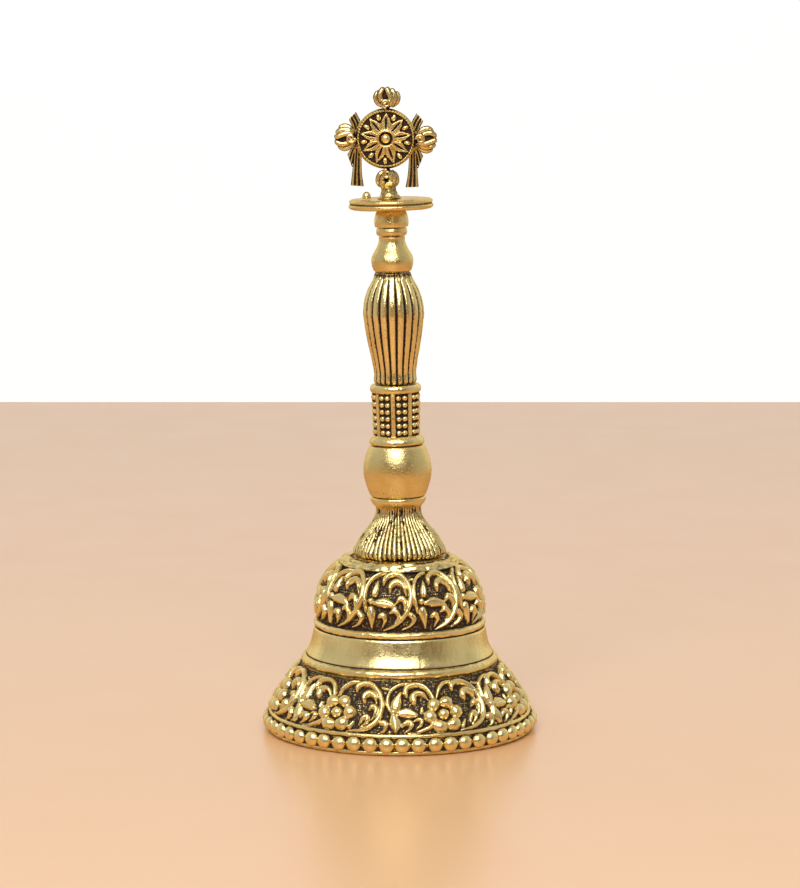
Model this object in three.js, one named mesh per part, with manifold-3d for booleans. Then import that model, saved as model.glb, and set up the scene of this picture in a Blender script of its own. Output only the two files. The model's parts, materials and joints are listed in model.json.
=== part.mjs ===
// Brass puja bell with a wheel-disc (chakra) finial, standing on its mouth.
// Millimetres, +Z up. The origin is on the cup's axis, at the plane of the lip.
// The cup, its nut and its clapper are upright. The stacked handle leans towards -X from the crown.

import * as THREE from 'three';
import { mergeVertices } from 'three/addons/utils/BufferGeometryUtils.js';
import Module from 'manifold-3d';

const wasm = await Module();
wasm.setup();

// ---------- driving dimensions ----------

const GAP = 0.3;                       // clearance between pieces that touch
const ROUND = 36;                      // sides of a large turned piece
const MEDIUM_ROUND = 30;
const SMALL_ROUND = 20;                // sides of a small turned piece

const ROD_RADIUS = 1.9;                // tie rod
const BORE = ROD_RADIUS + 0.4;         // hole for the tie rod in everything it clamps
const ROD_TOP = 141;
const ROD_BOTTOM = 39.6;

const CROWN_TOP = 47.4;                // flat top of the cup
const CROWN_UNDERSIDE = 44;
const LIP_OUTER_RADIUS = 36.9;
const LIP_INNER_RADIUS = 34.4;
const BEAD_RING_RADIUS = 36.5;
const BEAD_RING_HEIGHT = 3.5;
const BEAD_RADIUS = 1.9;
const WAIST_RING_RADIUS = 26.2;
const WAIST_RING_HEIGHT = 19.8;
const WAIST_RING_THICKNESS = 1.2;

const LEAN = THREE.MathUtils.degToRad(1.4);          // of the whole handle
const POST_LEAN = THREE.MathUtils.degToRad(0.7);     // of the post on its plate, further to -X
const WHEEL_TURN = THREE.MathUtils.degToRad(3.4);    // of the wheel on its post, back towards +X
const POST_OFFSET = -0.8;                            // from the plate's middle to the post's foot
const LEAN_HEIGHT = 49;                              // where the lean starts
const LEAN_ROOM = 0.4;                               // how far the leaning foot's edge comes down

const FOOT_BOTTOM = 50.3;
const FOOT_TOP = 65.2;
const COLLAR_BOTTOM = 79.9;
const COLLAR_TOP = 96.4;
const GRIP_TOP = 127.1;
const BULB_TOP = 137.3;
const NECK_RING_TOP = 139.4;
const KNOB_TOP = 144.3;
const PLATE_TOP = 147.4;
const PLATE_RADIUS = 11.6;

const GRIP_RIBS = 21;
const RIB_CUT = 0.09;                  // depth of a groove between ribs, as a share of the radius
const COLLAR_BARS = 8;
const COLLAR_TURN = THREE.MathUtils.degToRad(-7.5);
const COLLAR_BODY_RADIUS = 6.2;
const BAR_WIDTH = 1.2;
const BAR_THICKNESS = 0.9;
const BAR_BOTTOM = 82.6;
const BAR_TOP = 92.8;

const WHEEL_HEIGHT = 16.4;             // wheel centre above the plate
const WHEEL_RADIUS = 8.1;
const WHEEL_HALF_THICKNESS = 1.1;
const PETALS = 9;
const PETAL_TIP = 6.8;
const PETAL_VALLEY = 4.2;
const PETAL_HALF_THICKNESS = 0.85;
const FLAME_LENGTH = 6.1;
const FLAME_RADIUS = 3.4;
const FLAME_FLATTENING = 0.6;          // thickness over width
const RIBBON_THICKNESS = 1.2;
const TENON_RADIUS = 1.4;
const TENON_BORE = 1.8;
const STUD_RADIUS = 1;

const NUT_TOP = 42.2;
const NUT_BOTTOM = 37.7;
const NUT_CORNER_RADIUS = 5;
const NUT_FLOOR = 1;                   // thickness of the nut under its blind hole
const STEM_RADIUS = 0.95;              // swivel's stem, through the nut's floor
const HEAD_RADIUS = 1.85;              // swivel's head, on the nut's floor
const HEAD_THICKNESS = 0.5;
const SHANK_RADIUS = 1.2;              // clapper's shank, where it enters the ball
const EYE_RADIUS = 1.9;                // wire centre line of the swivel's eye
const EYE_WIRE = 0.75;
const LOOP_RADIUS = 1.8;               // wire centre line of the clapper's loop
const LOOP_WIRE = 0.65;
const EYE_CENTRE = NUT_BOTTOM - 0.4 - EYE_RADIUS - EYE_WIRE;
const PIVOT_HEIGHT = EYE_CENTRE - EYE_RADIUS;
const CLAPPER_LENGTH = 24.7;           // pivot to the middle of the ball
const BALL_RADIUS = 6.5;

// ---------- materials ----------

const agedBrass = new THREE.MeshStandardMaterial({ color: 0xb8964e, roughness: 0.34, metalness: 1 });
const plainBrass = new THREE.MeshStandardMaterial({ color: 0xc4a45c, roughness: 0.28, metalness: 1 });
const steel = new THREE.MeshStandardMaterial({ color: 0x77736c, roughness: 0.45, metalness: 1 });

// ---------- helpers ----------

// A list of [radius, height] pairs as points.
function corners(pairs) {
  return pairs.map(([radius, height]) => new THREE.Vector2(radius, height));
}

// A smooth line through [radius, height] pairs.
function smooth(pairs, steps) {
  return new THREE.SplineCurve(corners(pairs)).getPoints(steps);
}

// Part of a circle, with angles in degrees from straight out.
function arc(centreRadius, centreHeight, radius, fromDegrees, toDegrees, steps) {
  const points = [];
  for (let i = 0; i <= steps; i += 1) {
    const angle = THREE.MathUtils.degToRad(fromDegrees + (toDegrees - fromDegrees) * i / steps);
    const across = centreRadius + radius * Math.cos(angle);
    points.push(new THREE.Vector2(across, centreHeight + radius * Math.sin(angle)));
  }
  return points;
}

// A turned solid about Z. The outline runs upwards on the outside, from the axis to the axis.
function turned(outline, sides = ROUND) {
  return new THREE.LatheGeometry(outline, sides).rotateX(Math.PI / 2);
}

// A turned solid with a hole through it. The outline is its outside, running upwards.
function bored(outline, bore, sides = ROUND) {
  const bottom = new THREE.Vector2(bore, outline[0].y);
  const top = new THREE.Vector2(bore, outline[outline.length - 1].y);
  return turned([bottom, ...outline, top, bottom.clone()], sides);
}

// A turned solid with a blind hole up from its bottom.
function cupped(outline, bore, depth, sides = ROUND) {
  const low = outline[0].y;
  const top = outline[outline.length - 1].y;
  const roof = corners([[0, low + depth], [bore, low + depth], [bore, low]]);
  return turned([...roof, ...outline, new THREE.Vector2(0, top)], sides);
}

// Moves each outer point of a turned solid in or out by a share that depends on its angle.
function carved(geometry, shareAt) {
  const position = geometry.attributes.position;
  for (let i = 0; i < position.count; i += 1) {
    const x = position.getX(i);
    const y = position.getY(i);
    const radius = Math.hypot(x, y);
    const share = shareAt(Math.atan2(y, x), radius, position.getZ(i));
    position.setX(i, x * share);
    position.setY(i, y * share);
  }
  return geometry;
}

// A closed geometry as a manifold solid.
function solid(geometry) {
  const bare = geometry.clone();
  bare.deleteAttribute('normal');
  bare.deleteAttribute('uv');
  const merged = mergeVertices(bare, 1e-4);
  const vertProperties = new Float32Array(merged.attributes.position.array);
  const triVerts = new Uint32Array(merged.index.array);
  return new wasm.Manifold(new wasm.Mesh({ numProp: 3, vertProperties, triVerts }));
}

// A manifold solid as a geometry.
function geometryOf(manifold) {
  const mesh = manifold.getMesh();
  const geometry = new THREE.BufferGeometry();
  geometry.setAttribute('position', new THREE.BufferAttribute(mesh.vertProperties, 3));
  geometry.setIndex(new THREE.BufferAttribute(mesh.triVerts, 1));
  geometry.computeVertexNormals();
  return geometry;
}

// Several geometries joined into one solid.
function joined(geometries) {
  return geometryOf(geometries.map(solid).reduce((whole, piece) => whole.add(piece)));
}

// An upright cylinder between two heights.
function cylinder(radius, low, high, sides = SMALL_ROUND) {
  return turned(corners([[0, low], [radius, low], [radius, high], [0, high]]), sides);
}

// Adds a named piece to a group.
function place(group, name, geometry, material) {
  const mesh = new THREE.Mesh(geometry, material);
  mesh.name = name;
  group.add(mesh);
  return mesh;
}

// ---------- the cup and what is under its crown ----------

// Cast cup: lip, bead ring, concave skirt, waist ring, plain band and dome, with an even wall.
function bellCup() {
  const lip = corners([[LIP_INNER_RADIUS, 0], [36.4, 0], [LIP_OUTER_RADIUS, 0.5], [LIP_OUTER_RADIUS, 1.4]]);
  const beads = arc(BEAD_RING_RADIUS, BEAD_RING_HEIGHT, BEAD_RADIUS, -60, 60, 4);
  const skirt = smooth([[36.3, 6.2], [34.9, 8.8], [31.8, 13.4], [28.4, 18]], 4);
  const waist = arc(WAIST_RING_RADIUS, WAIST_RING_HEIGHT, WAIST_RING_THICKNESS, -50, 75, 3);
  const band = smooth([[26, 21.2], [24.7, 24.4], [23.6, 29]], 3);
  const dome = smooth([[23.2, 31], [23.3, 35.5], [22.1, 41], [19.4, 44.8], [15.6, CROWN_TOP]], 7);
  const crown = corners([[BORE, CROWN_TOP], [BORE, CROWN_UNDERSIDE], [14, CROWN_UNDERSIDE]]);
  const inside = smooth([[17.2, 42.7], [20, 38.6], [20.7, 32], [21.6, 26], [23.3, 20.4], [31.4, 9.2],
    [33.5, 4.6], [LIP_INNER_RADIUS, 0]], 10);
  return turned([...lip, ...beads, ...skirt, ...waist, ...band, ...dome, ...crown, ...inside]);
}

// Washer between the cup and the handle, with a small neck on top.
function crownWasher() {
  const rim = arc(14.4, 48.3, 0.7, -60, 60, 3);
  const neck = corners([[12.6, 49.1], [12.2, FOOT_BOTTOM - GAP - LEAN_ROOM]]);
  return bored([new THREE.Vector2(14, CROWN_TOP + GAP), ...rim, ...neck], BORE, MEDIUM_ROUND);
}

// Washer under the crown.
function innerWasher() {
  const low = NUT_TOP + GAP;
  const high = CROWN_UNDERSIDE - GAP;
  return bored(corners([[7, low], [7, high]]), BORE, SMALL_ROUND);
}

// Hexagonal cap nut: the tie rod ends inside it, over the headed end of the swivel.
function crownNut() {
  const body = new THREE.CylinderGeometry(NUT_CORNER_RADIUS, NUT_CORNER_RADIUS, NUT_TOP - NUT_BOTTOM, 6);
  body.rotateX(Math.PI / 2).translate(0, 0, (NUT_TOP + NUT_BOTTOM) / 2);
  const floor = NUT_BOTTOM + NUT_FLOOR;
  const narrow = STEM_RADIUS + 0.4;
  const hole = turned(corners([[0, NUT_BOTTOM - 1], [narrow, NUT_BOTTOM - 1], [narrow, floor],
    [BORE, floor], [BORE, NUT_TOP + 1], [0, NUT_TOP + 1]]), SMALL_ROUND);
  return geometryOf(solid(body).subtract(solid(hole)));
}

// Tie rod: upright in the cup, bent at the crown to follow the leaning handle.
function tieRod() {
  const lower = cylinder(ROD_RADIUS, ROD_BOTTOM, LEAN_HEIGHT + 0.1, 16);
  const upper = cylinder(ROD_RADIUS, -0.1, ROD_TOP - LEAN_HEIGHT, 16);
  upper.rotateY(-LEAN).translate(0, 0, LEAN_HEIGHT);
  return joined([lower, upper]);
}

// ---------- the stacked handle ----------

// Trumpet foot with a plain ring on top.
function handleFoot() {
  const trumpet = smooth([[12.4, FOOT_BOTTOM], [11, 53.2], [8.4, 57.4], [6.6, 59.8], [6.2, 61.8]], 6);
  const ring = corners([[6.7, 63], [7.5, 64], [7.5, 64.8], [7.1, FOOT_TOP]]);
  return bored([...trumpet, ...ring], BORE, ROUND);
}

// Plain ball above the foot.
function handleBall() {
  const outline = smooth([[7.3, FOOT_TOP + GAP], [8.8, 69], [9.4, 72.8], [8.6, 76.5],
    [7.3, COLLAR_BOTTOM - GAP]], 8);
  return bored(outline, BORE, MEDIUM_ROUND);
}

// Collar with upright bars between two rings.
function studdedCollar() {
  const lowerRing = corners([[7, COLLAR_BOTTOM], [7.2, 80.5], [7, 81.7], [6.4, 82.4]]);
  const body = corners([[COLLAR_BODY_RADIUS, 82.8], [COLLAR_BODY_RADIUS, 92.6]]);
  const upperRing = corners([[6.7, 93.2], [7, 94.5], [7, 95.6], [6.6, COLLAR_TOP]]);
  const pieces = [bored([...lowerRing, ...body, ...upperRing], BORE, MEDIUM_ROUND)];
  for (let i = 0; i < COLLAR_BARS; i += 1) {
    const bar = new THREE.BoxGeometry(BAR_THICKNESS, BAR_WIDTH, BAR_TOP - BAR_BOTTOM);
    bar.translate(COLLAR_BODY_RADIUS, 0, (BAR_TOP + BAR_BOTTOM) / 2);
    pieces.push(bar.rotateZ(COLLAR_TURN + i * 2 * Math.PI / COLLAR_BARS));
  }
  return joined(pieces);
}

// Swelling grip with deep ribs.
function flutedGrip() {
  const outline = smooth([[5.9, COLLAR_TOP + GAP], [5.8, 99], [6.9, 106], [8.3, 115.8], [7.2, 122],
    [4.8, GRIP_TOP]], 9);
  const rib = (angle, radius) => {
    const cut = radius > BORE + 1 ? RIB_CUT : 0;
    return 1 - cut * (1 + Math.cos(angle * GRIP_RIBS)) / 2;
  };
  return carved(bored(outline, BORE, GRIP_RIBS * 3), rib);
}

// Pear-shaped bulb with a narrow neck.
function pearBulb() {
  const outline = smooth([[4.9, GRIP_TOP + GAP], [5.7, 130.4], [4.4, 133.8], [3.6, 135.8],
    [3.6, BULB_TOP - GAP]], 9);
  return bored(outline, BORE, SMALL_ROUND);
}

// Narrow ring between the bulb and the knob.
function neckRing() {
  const outline = arc(3.3, (BULB_TOP + NECK_RING_TOP) / 2, 1, -70, 70, 4);
  outline[0].y = BULB_TOP;
  outline[outline.length - 1].y = NECK_RING_TOP;
  return bored(outline, BORE, SMALL_ROUND);
}

// Knob that the tie rod screws up into. A blind hole in its top takes the finial's tenon.
function topKnob() {
  const low = NECK_RING_TOP + GAP;
  const side = smooth([[4.2, low], [4.6, 141], [4.2, 143], [3.8, KNOB_TOP]], 6);
  const knob = cupped(side, BORE, ROD_TOP + GAP - low, SMALL_ROUND);
  const tenonHole = cylinder(TENON_BORE, KNOB_TOP - 2, KNOB_TOP + 1);
  return geometryOf(solid(knob).subtract(solid(tenonHole)));
}

// Round two-step plate.
function finialPlate() {
  const low = KNOB_TOP + GAP;
  const outline = corners([[9.8, low], [PLATE_RADIUS, 145], [PLATE_RADIUS, 145.6], [11.2, 145.9],
    [11.4, 146.3], [11.3, 146.9], [10.8, PLATE_TOP]]);
  return bored(outline, TENON_BORE, ROUND);
}

// ---------- the finial: the post stands on the plate, and the rest goes with the wheel ----------

// Flame bud along +Z from its curl at the bottom, flattened front to back.
function flameBud() {
  const bud = turned(smooth([[0, 0], [1.9, 0.7], [FLAME_RADIUS, 3.4], [2.7, 5.2], [0, FLAME_LENGTH]], 9), 16);
  return bud.scale(1, FLAME_FLATTENING, 1);
}

// Post with its tenon down the middle of the plate, and a flame bud hanging below the wheel.
function finialPost() {
  const foot = turned(corners([[0, GAP], [2.8, GAP], [2.3, 1.3], [2, 2.6], [2, 5], [0, 5]]), SMALL_ROUND);
  const tenon = cylinder(TENON_RADIUS, -4.6, GAP + 1);
  tenon.translate(-POST_OFFSET, 0, 0);
  const bud = flameBud();
  bud.rotateX(Math.PI).translate(0, 0, WHEEL_HEIGHT - WHEEL_RADIUS - GAP);
  return joined([foot, tenon, bud]);
}

// Wheel disc with a raised rim, a hub and a star of petals on both faces.
function chakraDisc() {
  const half = corners([[0, 1.7], [0.9, 1.5], [1.4, 1], [2, 0.9], [2.3, 1.2], [2.8, 1], [3, 0.5], [7, 0.5],
    [7.3, WHEEL_HALF_THICKNESS], [7.9, WHEEL_HALF_THICKNESS], [WHEEL_RADIUS, 0.7]]);
  const lower = half.map((point) => new THREE.Vector2(point.x, -point.y));
  const wheel = turned([...lower, ...half.reverse()], PETALS * 3);
  const points = [];
  for (let i = 0; i < PETALS * 2; i += 1) {
    const reach = i % 2 === 0 ? PETAL_TIP : PETAL_VALLEY;
    const angle = i * Math.PI / PETALS;
    points.push(new THREE.Vector2(reach * Math.sin(angle), reach * Math.cos(angle)));
  }
  const star = new THREE.Shape(points);
  const petals = new THREE.ExtrudeGeometry(star, { depth: 2 * PETAL_HALF_THICKNESS, bevelEnabled: false });
  petals.translate(0, 0, -PETAL_HALF_THICKNESS);
  return joined([wheel, petals]).rotateX(Math.PI / 2);
}

// Pleated ribbon behind one side flame: a short upper end and a long hanging tail.
// The outline is in distances across and up from the wheel's centre.
function ribbon(side) {
  const outline = corners([[6.5, 3], [8.2, 6.9], [10.2, 5], [9, 1.6], [9, -3], [10.4, -5], [9.4, -8],
    [9.3, -13.2], [5.6, -13.2], [6.4, -8], [6.6, -3]]);
  const shape = new THREE.Shape(outline.map((point) => new THREE.Vector2(side * point.x, point.y)));
  const cloth = new THREE.ExtrudeGeometry(shape, { depth: RIBBON_THICKNESS, bevelEnabled: false });
  const back = WHEEL_HALF_THICKNESS + GAP;
  return cloth.rotateX(Math.PI / 2).translate(0, back + RIBBON_THICKNESS, 0);
}

// ---------- the clapper ----------

// Headed swivel that turns in the cap nut, with an eye below it.
function clapperSwivel() {
  const head = NUT_BOTTOM + NUT_FLOOR + GAP / 2;
  const headTop = head + HEAD_THICKNESS;
  const eyeTop = EYE_CENTRE + EYE_RADIUS;
  const stem = turned(corners([[0, eyeTop], [STEM_RADIUS, eyeTop], [STEM_RADIUS, head], [HEAD_RADIUS, head],
    [HEAD_RADIUS, headTop], [0, headTop]]), SMALL_ROUND);
  const eye = new THREE.TorusGeometry(EYE_RADIUS, EYE_WIRE, 8, SMALL_ROUND);
  eye.rotateX(Math.PI / 2).translate(0, 0, EYE_CENTRE);
  return joined([stem, eye]);
}

// Clapper shank with the loop that hangs in the swivel's eye.
function clapperRod() {
  const loop = new THREE.TorusGeometry(LOOP_RADIUS, LOOP_WIRE, 8, SMALL_ROUND);
  loop.rotateY(Math.PI / 2).translate(0, 0, PIVOT_HEIGHT);
  const ballCentre = PIVOT_HEIGHT - CLAPPER_LENGTH;
  const loopBottom = PIVOT_HEIGHT - LOOP_RADIUS;
  const shank = turned(corners([[0, ballCentre], [SHANK_RADIUS, ballCentre], [SHANK_RADIUS, ballCentre + 9],
    [0.9, PIVOT_HEIGHT - 5], [0.8, loopBottom], [0, loopBottom]]), 16);
  return joined([loop, shank]);
}

// Striking ball, with a short neck and a blind hole for the shank.
function clapperBall() {
  const centre = PIVOT_HEIGHT - CLAPPER_LENGTH;
  const ball = arc(0, centre, BALL_RADIUS, -90, 68, 9);
  ball[0].x = 0;
  const neck = corners([[2, centre + 7.4], [1.5, centre + 7.4], [1.5, centre - GAP], [0, centre - GAP]]);
  return turned([...ball, ...neck], MEDIUM_ROUND);
}

// ---------- assembly ----------

const bell = new THREE.Group();
place(bell, 'bell_cup', bellCup(), agedBrass);
place(bell, 'crown_washer', crownWasher(), agedBrass);
place(bell, 'inner_washer', innerWasher(), steel);
place(bell, 'crown_nut', crownNut(), plainBrass);
place(bell, 'tie_rod', tieRod(), steel);
place(bell, 'clapper_swivel', clapperSwivel(), steel);
place(bell, 'clapper_rod', clapperRod(), steel);
place(bell, 'clapper_ball', clapperBall(), plainBrass);

// The handle's pieces are drawn at their heights on the bell, then tipped about the crown.
const handle = new THREE.Group();
handle.position.set(0, 0, LEAN_HEIGHT);
handle.rotation.y = -LEAN;
bell.add(handle);

const stack = new THREE.Group();
stack.position.z = -LEAN_HEIGHT;
handle.add(stack);
place(stack, 'handle_foot', handleFoot(), agedBrass);
place(stack, 'handle_ball', handleBall(), plainBrass);
place(stack, 'studded_collar', studdedCollar(), agedBrass);
place(stack, 'fluted_grip', flutedGrip(), agedBrass);
place(stack, 'pear_bulb', pearBulb(), plainBrass);
place(stack, 'neck_ring', neckRing(), plainBrass);
place(stack, 'top_knob', topKnob(), plainBrass);
place(stack, 'finial_plate', finialPlate(), plainBrass);

// The post stands a little off the plate's middle. The wheel is turned back upright on top of it.
const finial = new THREE.Group();
finial.position.set(POST_OFFSET, 0, PLATE_TOP);
finial.rotation.y = -POST_LEAN;
stack.add(finial);
place(finial, 'finial_post', finialPost(), agedBrass);

const wheel = new THREE.Group();
wheel.position.z = WHEEL_HEIGHT;
wheel.rotation.y = WHEEL_TURN;
finial.add(wheel);
place(wheel, 'chakra_disc', chakraDisc(), agedBrass);
place(wheel, 'ribbon_left', ribbon(-1), agedBrass);
place(wheel, 'ribbon_right', ribbon(1), agedBrass);

// Each flame stands on the rim and points away from the wheel's centre.
const FLAME_TURNS = { flame_top: 0, flame_right: 1, flame_left: -1 };
for (const [name, turns] of Object.entries(FLAME_TURNS)) {
  const flame = place(wheel, name, flameBud(), agedBrass);
  const angle = turns * Math.PI / 2;
  const reach = WHEEL_RADIUS + GAP;
  flame.rotation.y = angle;
  flame.position.set(reach * Math.sin(angle), 0, reach * Math.cos(angle));
}

// Small stud on the plate, left of the post and towards the front.
const stud = turned(arc(0, 0, STUD_RADIUS, -90, 90, 6), 16);
const plateStud = place(stack, 'plate_stud', stud, plainBrass);
plateStud.position.set(-6.6, -2, PLATE_TOP + GAP + STUD_RADIUS);

export default bell;
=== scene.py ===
"""Antique brass puja bell: cast relief, turned handle, wheel finial and clapper around the CAD frame.

Shapes are worked out in millimetres, in numpy grids, and put into Blender in metres.
"""
import json
import math

import bmesh
import bpy
import numpy as np
from mathutils import Matrix, Vector


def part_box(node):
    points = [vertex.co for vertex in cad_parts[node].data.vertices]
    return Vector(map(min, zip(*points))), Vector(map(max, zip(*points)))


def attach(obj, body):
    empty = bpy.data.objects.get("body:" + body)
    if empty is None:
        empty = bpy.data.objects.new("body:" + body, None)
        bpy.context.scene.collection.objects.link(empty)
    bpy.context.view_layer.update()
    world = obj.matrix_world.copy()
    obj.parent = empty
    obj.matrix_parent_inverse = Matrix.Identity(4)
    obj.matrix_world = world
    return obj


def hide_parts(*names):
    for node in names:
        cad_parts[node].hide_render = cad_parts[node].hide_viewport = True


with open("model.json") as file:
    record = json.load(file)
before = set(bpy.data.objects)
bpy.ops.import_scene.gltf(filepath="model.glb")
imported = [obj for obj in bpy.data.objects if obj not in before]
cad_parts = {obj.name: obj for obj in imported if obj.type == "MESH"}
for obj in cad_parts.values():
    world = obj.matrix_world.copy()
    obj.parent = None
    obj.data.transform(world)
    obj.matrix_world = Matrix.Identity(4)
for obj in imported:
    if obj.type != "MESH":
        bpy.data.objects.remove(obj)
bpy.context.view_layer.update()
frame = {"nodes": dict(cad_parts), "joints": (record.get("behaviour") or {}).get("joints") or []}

MM = 0.001
TURN = 2 * math.pi

# The handle leans from the crown, and the finial leans a little more on its plate.
LEAN = math.radians(1.4)
LEAN_HEIGHT = 49.0
POST_LEAN = math.radians(0.7)
POST_OFFSET = -0.8
WHEEL_TURN = math.radians(3.4)

DOME_MEDALLIONS = 10
DOME_TURN = math.radians(-7.9)
SKIRT_PERIODS = 7
SKIRT_TURN = math.radians(-1.3)
LIP_BEADS = 52
LIP_BEAD_TURN = math.radians(1.1)
FOOT_FLUTES = 54
GRIP_RIBS = 21
GRIP_TURN = math.radians(5.7)
COLLAR_PANELS = 8
COLLAR_TURN = math.radians(-7.5)
STUD_ROWS = 6
PETALS = 9
RIM_BEADS = 60
WHEEL_HEIGHT = 16.4
WHEEL_RADIUS = 8.1
BALL_RADIUS = 6.5

HANDLE = (Matrix.Translation((0, 0, LEAN_HEIGHT * MM)) @ Matrix.Rotation(-LEAN, 4, "Y")
          @ Matrix.Translation((0, 0, -LEAN_HEIGHT * MM)))


# ---- lines and grids

def unit(values):
    """Values held between 0 and 1."""
    return np.clip(values, 0, 1)


def spline(points, count):
    """Evenly stepped points on a smooth line through the given points."""
    points = np.array(points, float)
    if len(points) == 1:
        return np.repeat(points, count, axis=0)
    padded = np.vstack([2 * points[0] - points[1], points, 2 * points[-1] - points[-2]])
    at = np.linspace(0, len(points) - 1, count)
    cell = np.minimum(at.astype(int), len(points) - 2)
    t = (at - cell)[:, None]
    a, b, c, d = (padded[cell + k] for k in range(4))
    return b + 0.5 * t * (c - a + t * (2 * a - 5 * b + 4 * c - d + t * (3 * (b - c) + d - a)))


def evenly(points, spacing):
    """The same line with its points a fixed distance apart, and the distance along it."""
    points = np.array(points, float)
    steps = np.hypot(*np.diff(points, axis=0).T)
    along = np.concatenate([[0], np.cumsum(steps)])
    count = max(2, int(round(along[-1] / spacing)) + 1)
    at = np.linspace(0, along[-1], count)
    return np.stack([np.interp(at, along, points[:, k]) for k in range(2)], axis=1)


def arc(centre, radius, start, end, count):
    """Part of a circle as [radius, height] points, with angles in degrees from straight out."""
    angle = np.radians(np.linspace(start, end, count))
    return np.stack([centre[0] + radius * np.cos(angle), centre[1] + radius * np.sin(angle)], axis=1)


def half_round(far):
    """The height of a ball of radius 1 at a distance from its middle."""
    return np.sqrt(unit(1 - far ** 2))


def around(count):
    """Evenly spaced angles once round."""
    return np.arange(count) * TURN / count


def raised(low, points):
    """Points of an outline, with heights given above low."""
    return [(radius, low + height) for radius, height in points]


def sample(grid, y, x, smooth=False):
    """A grid's values at rows y and columns x, between its points. Its columns close on themselves."""
    y0, x0 = y.astype(int), np.floor(x).astype(int)
    fy, fx = (y - y0)[:, None], x - x0
    if smooth:
        fy, fx = fy * fy * (3 - 2 * fy), fx * fx * (3 - 2 * fx)
    x0 = x0 % grid.shape[1]
    x1 = (x0 + 1) % grid.shape[1]
    low = grid[y0][:, x0] * (1 - fx) + grid[y0][:, x1] * fx
    high = grid[y0 + 1][:, x0] * (1 - fx) + grid[y0 + 1][:, x1] * fx
    return low * (1 - fy) + high * fy


def smooth_noise(shape, cell, seed):
    """A smooth random field from -1 to 1 that closes on itself across its columns."""
    rows = max(2, int(shape[0] / cell) + 2)
    columns = max(3, int(round(shape[1] / cell)))
    coarse = np.random.default_rng(seed).uniform(-1, 1, (rows, columns))
    y = np.linspace(0, rows - 1.001, shape[0])
    return sample(coarse, y, np.arange(shape[1]) * columns / shape[1], smooth=True)


def ripple(shape, *waves):
    """A sum of smooth random fields, each given as (height, cell, seed)."""
    return sum(height * smooth_noise(shape, cell, seed) for height, cell, seed in waves)


# ---- cast relief

RELIEF_DEPTH = 1.3
STROKE = 1.22

class Relief:
    """Cast relief on a flat strip, in millimetres, that repeats along its length."""

    PITCH = 0.08

    def __init__(self, period, height):
        self.period = period
        self.height = height
        self.columns = int(round(period / self.PITCH))
        self.rows = int(round(height / self.PITCH)) + 1
        u = np.arange(self.columns) * period / self.columns
        v = np.linspace(0, height, self.rows)
        self.u, self.v = np.meshgrid(u, v)
        self.h = np.zeros_like(self.u)

    def near(self, u):
        """The strip's u values, taken from the copy of the pattern nearest to u."""
        return (self.u - u + self.period / 2) % self.period - self.period / 2 + u

    def add(self, h):
        self.h = np.maximum(self.h, h)

    def distance(self, points, widths):
        """Distance to a smooth line, its half width there, and the side of the line, for every grid point."""
        count = 10 * max(1, len(points) - 1) + 1
        line = spline(points, count)
        half = STROKE * spline(np.array(widths, float)[:, None], count)[:, 0]
        u = self.near((line[:, 0].min() + line[:, 0].max()) / 2)
        best = np.full(u.shape, 1e9)
        width = np.ones(u.shape)
        side = np.zeros(u.shape)
        for k in range(count - 1):
            du, dv = line[k + 1] - line[k]
            length = max(1e-9, math.hypot(du, dv))
            ru, rv = u - line[k, 0], self.v - line[k, 1]
            t = unit((ru * du + rv * dv) / length ** 2)
            here = np.hypot(ru - t * du, rv - t * dv)
            w = half[k] + (half[k + 1] - half[k]) * t
            closer = here / w < best / width
            best = np.where(closer, here, best)
            width = np.where(closer, w, width)
            side = np.where(closer, (ru * dv - rv * du) / length, side)
        return best, width, side

    def vine(self, points, widths, height=1.0, roundness=0.5):
        """A rounded cord that tapers by the half widths given for its points."""
        best, width, _ = self.distance(points, widths)
        body = unit(1 - (best / width) ** 2) ** roundness
        self.add(body * height * RELIEF_DEPTH * np.clip(width / 0.65, 0.6, 1.1))

    def leaf(self, points, widths, height=1.0, rib=0.0):
        """A plump leaf. A rib above 0 is a groove down its middle, and below 0 a ridge."""
        best, width, side = self.distance(points, widths)
        body = unit(1 - (best / width) ** 2) ** 0.6
        mark = rib * np.exp(-(side / 0.16) ** 2) * (body > 0.25)
        self.add(body * height * RELIEF_DEPTH - mark)

    def ball(self, u, v, radius, height):
        """A round boss."""
        far = np.hypot(self.near(u) - u, self.v - v) / radius
        self.add(height * RELIEF_DEPTH * half_round(far))

    def sink(self, u, v, radius, depth):
        """A soft hollow, as round the middle of a flower."""
        far = np.hypot(self.near(u) - u, self.v - v) / radius
        self.h = self.h - depth * np.exp(-far ** 4)

    def stipple(self, u, v, reach, pitch=0.66, height=0.6):
        """A patch of small punched dots on the bare ground."""
        near_u = self.near(u)
        inside = unit(1.6 - 1.3 * np.hypot((near_u - u) / reach[0], (self.v - v) / reach[1]))
        row = np.floor(self.v / pitch)
        du = (near_u + row % 2 * pitch / 2) % pitch - pitch / 2
        dv = self.v % pitch - pitch / 2
        dots = unit(1 - (np.hypot(du, dv) / (0.42 * pitch)) ** 2) ** 0.5
        self.add(dots * height * inside * (self.h < 0.12))

    def softened(self):
        """The relief with its creases rounded by a small blur."""
        h = self.h
        for _ in range(2):
            h = (np.roll(h, 1, 1) + 2 * h + np.roll(h, -1, 1)) / 4
            h = (np.vstack([h[:1], h[:-1]]) + 2 * h + np.vstack([h[1:], h[-1:]])) / 4
        return h

    def at(self, u, v):
        """The softened relief sampled on a mesh's rows (v) and columns (u)."""
        return sample(self.softened(), unit(v / self.height) * (self.rows - 1.001),
                      u / self.period % 1 * self.columns)


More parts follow.
